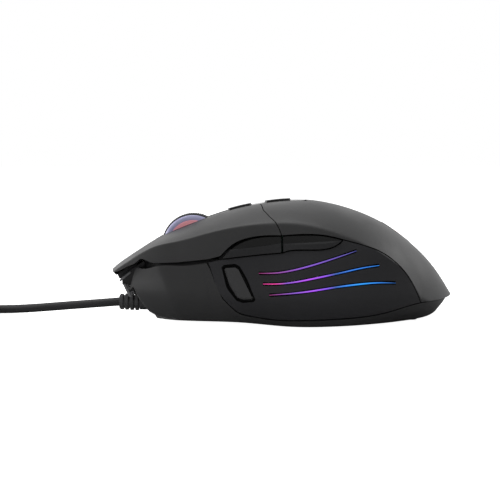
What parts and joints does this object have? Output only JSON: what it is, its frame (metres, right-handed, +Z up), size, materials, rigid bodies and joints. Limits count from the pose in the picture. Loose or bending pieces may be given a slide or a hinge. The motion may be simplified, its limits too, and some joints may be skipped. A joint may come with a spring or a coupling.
{
  "type": "computer mouse",
  "caption": "Wired right-handed ergonomic computer mouse with a scroll wheel, thumb buttons and lit side lines, its cord coiled beside it.",
  "frame": {"origin": "on the desk under the middle of the body's box, the cord left out", "axes": "+X towards the palm end, -X towards the nose where the cord leaves, -Y towards the thumb side, +Z up"},
  "size_m": [0.2317, 0.0959, 0.044],
  "materials": {
    "base_plastic": "matte",
    "soft_black": "satin",
    "satin_black": "satin",
    "gloss_black": "gloss",
    "light_guide": "lit",
    "lit_window": "lit",
    "grille_grey": "satin",
    "rubber": "matte",
    "clear_ring": "satin",
    "pink_hub": "satin",
    "inner_plastic": "satin",
    "steel": "brushed",
    "circuit_board": "satin",
    "switch_body": "satin",
    "switch_plunger": "satin",
    "chip_black": "satin",
    "clear_lens": "clear",
    "connector_white": "satin",
    "led": "gloss",
    "foot_pad": "satin",
    "cord_rubber": "satin"
  },
  "bodies": {
    "case": {"base_shell": "base_plastic", "palm_cover": "soft_black", "centre_spine": "gloss_black", "side_panel_thumb": "soft_black", "side_panel_grip": "soft_black", "side_light_guide": "light_guide", "palm_light_window": "lit_window", "front_bumper": "base_plastic", "front_grille": "grille_grey", "inner_frame": "inner_plastic", "hinge_pins": "steel", "frame_screws": "steel", "case_screws": "steel", "board_screws": "steel", "side_board_screws": "steel", "main_board": "circuit_board", "side_board": "circuit_board", "dpi_board": "circuit_board", "left_click_switch": "switch_body", "right_click_switch": "switch_body", "wheel_click_switch": "switch_body", "optical_sensor": "chip_black", "controller_chip": "chip_black", "sensor_lens": "clear_lens", "cable_connector": "connector_white", "wheel_led": "led", "side_leds": "led", "side_switches": "switch_body", "dpi_switches": "switch_body", "foot_front": "foot_pad", "foot_rear": "foot_pad", "strain_relief": "rubber", "cord_lead": "cord_rubber", "cord_tail": "cord_rubber", "cord_coil": "cord_rubber", "usb_plug_body": "cord_rubber", "usb_plug_shell": "steel", "usb_plug_tongue": "connector_white"},
    "left_button": {"left_main_button": "soft_black"},
    "right_button": {"right_main_button": "soft_black"},
    "left_plunger": {"left_switch_plunger": "switch_plunger"},
    "right_plunger": {"right_switch_plunger": "switch_plunger"},
    "wheel_cradle": {"wheel_carrier": "inner_plastic", "wheel_encoder": "inner_plastic"},
    "wheel": {"wheel_tyre": "rubber", "wheel_light_ring": "clear_ring", "wheel_hub": "pink_hub"},
    "wheel_plunger": {"wheel_switch_plunger": "switch_plunger"},
    "dpi_up": {"dpi_button_up": "gloss_black", "dpi_up_plunger": "switch_plunger"},
    "dpi_down": {"dpi_button_down": "gloss_black", "dpi_down_plunger": "switch_plunger"},
    "forward_button": {"side_button_forward": "satin_black", "forward_plunger": "switch_plunger"},
    "back_button": {"side_button_back": "satin_black", "back_plunger": "switch_plunger"},
    "sniper": {"sniper_button": "gloss_black", "sniper_plunger": "switch_plunger"}
  },
  "joints": [
    {"name": "left_click", "type": "hinge", "parent": "case", "child": "left_button", "pos_m": [-0.0055, 0, 0.0345], "axis": [0, -1, 0], "range_deg": [0, 1], "stiffness_Nm_per_rad": 1},
    {"name": "right_click", "type": "hinge", "parent": "case", "child": "right_button", "pos_m": [-0.0055, 0, 0.0345], "axis": [0, -1, 0], "range_deg": [0, 1], "stiffness_Nm_per_rad": 1},
    {"name": "left_switch", "type": "slide", "parent": "case", "child": "left_plunger", "axis": [0, 0, -1], "range_m": [0, 0.0005]},
    {"name": "right_switch", "type": "slide", "parent": "case", "child": "right_plunger", "axis": [0, 0, -1], "range_m": [0, 0.0005]},
    {"name": "wheel_click", "type": "hinge", "parent": "case", "child": "wheel_cradle", "pos_m": [-0.049, 0, 0.0125], "axis": [0, 1, 0], "range_deg": [0, 1], "stiffness_Nm_per_rad": 1},
    {"name": "wheel_spin", "type": "hinge", "parent": "wheel_cradle", "child": "wheel", "pos_m": [-0.0335, 0, 0.0267], "axis": [0, 1, 0], "continuous": true},
    {"name": "wheel_switch", "type": "slide", "parent": "case", "child": "wheel_plunger", "axis": [0, 0, -1], "range_m": [0, 0.00045]},
    {"name": "dpi_up_press", "type": "slide", "parent": "case", "child": "dpi_up", "axis": [0, 0, -1], "range_m": [0, 0.0004], "stiffness_N_per_m": 400},
    {"name": "dpi_down_press", "type": "slide", "parent": "case", "child": "dpi_down", "axis": [0, 0, -1], "range_m": [0, 0.0004], "stiffness_N_per_m": 400},
    {"name": "forward_press", "type": "slide", "parent": "case", "child": "forward_button", "axis": [0, 1, 0], "range_m": [0, 0.0005], "stiffness_N_per_m": 400},
    {"name": "back_press", "type": "slide", "parent": "case", "child": "back_button", "axis": [0, 1, 0], "range_m": [0, 0.0005], "stiffness_N_per_m": 400},
    {"name": "sniper_press", "type": "slide", "parent": "case", "child": "sniper", "axis": [0, 1, 0], "range_m": [0, 0.0005], "stiffness_N_per_m": 400}
  ],
  "couplings": [
    {"joint": "left_switch", "follows": "left_click", "m_per_rad": 0.028648},
    {"joint": "right_switch", "follows": "right_click", "m_per_rad": 0.028648},
    {"joint": "wheel_switch", "follows": "wheel_click", "m_per_rad": 0.025783}
  ]
}
